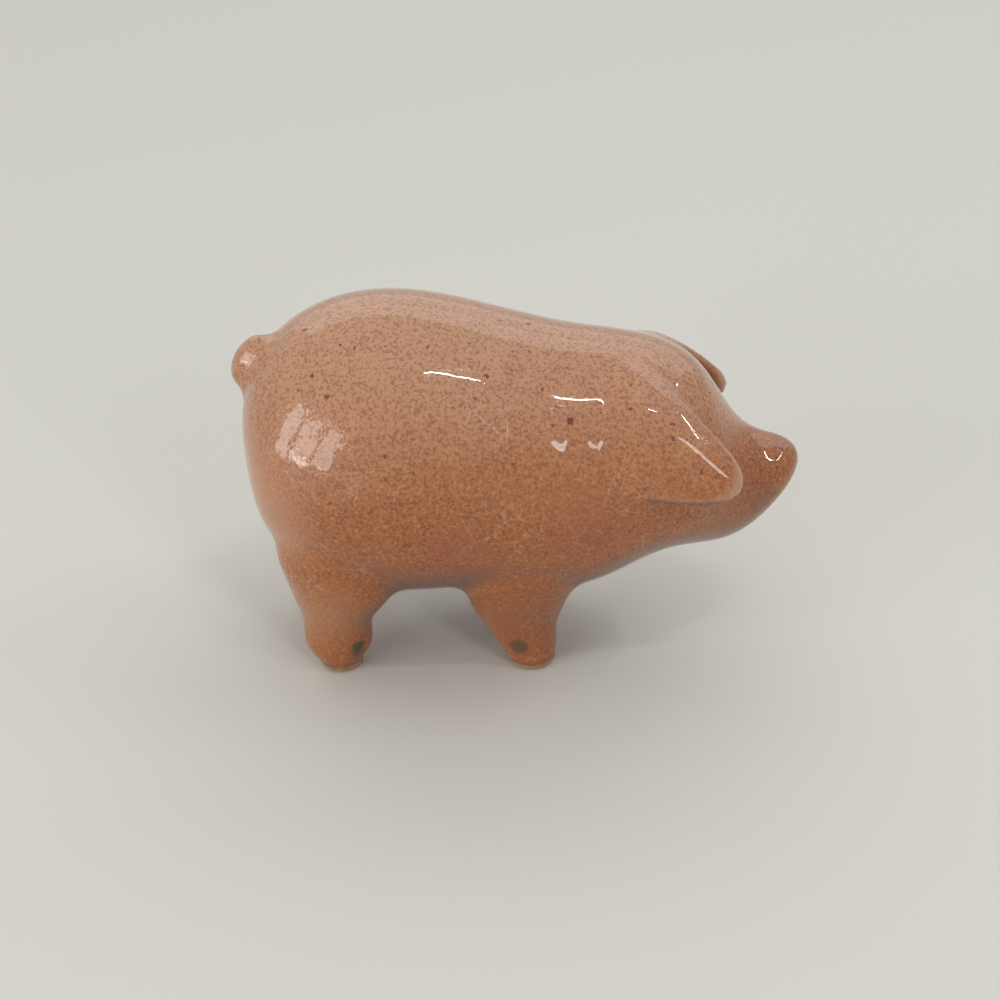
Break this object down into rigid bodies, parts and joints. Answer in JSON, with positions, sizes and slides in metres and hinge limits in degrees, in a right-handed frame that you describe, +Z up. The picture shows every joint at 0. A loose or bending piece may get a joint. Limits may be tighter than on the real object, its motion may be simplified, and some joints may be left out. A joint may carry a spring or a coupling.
{
  "type": "ceramic pig figurine",
  "caption": "Small standing pig of glazed earthenware with a plump round body, a plain face, folded leaf ears, a tail nub and short tapered peg legs.",
  "frame": {"origin": "on the ground plane under the middle of the figurine's whole length, in its middle plane", "axes": "+X towards the snout, +Y to the pig's left, +Z up"},
  "size_m": [0.0446, 0.0222, 0.0305],
  "materials": {
    "glaze": "gloss"
  },
  "bodies": {
    "root": {"body": "glaze", "ear_left": "glaze", "ear_right": "glaze", "tail": "glaze", "leg_front_left": "glaze", "leg_front_right": "glaze", "leg_rear_left": "glaze", "leg_rear_right": "glaze"}
  },
  "joints": []
}
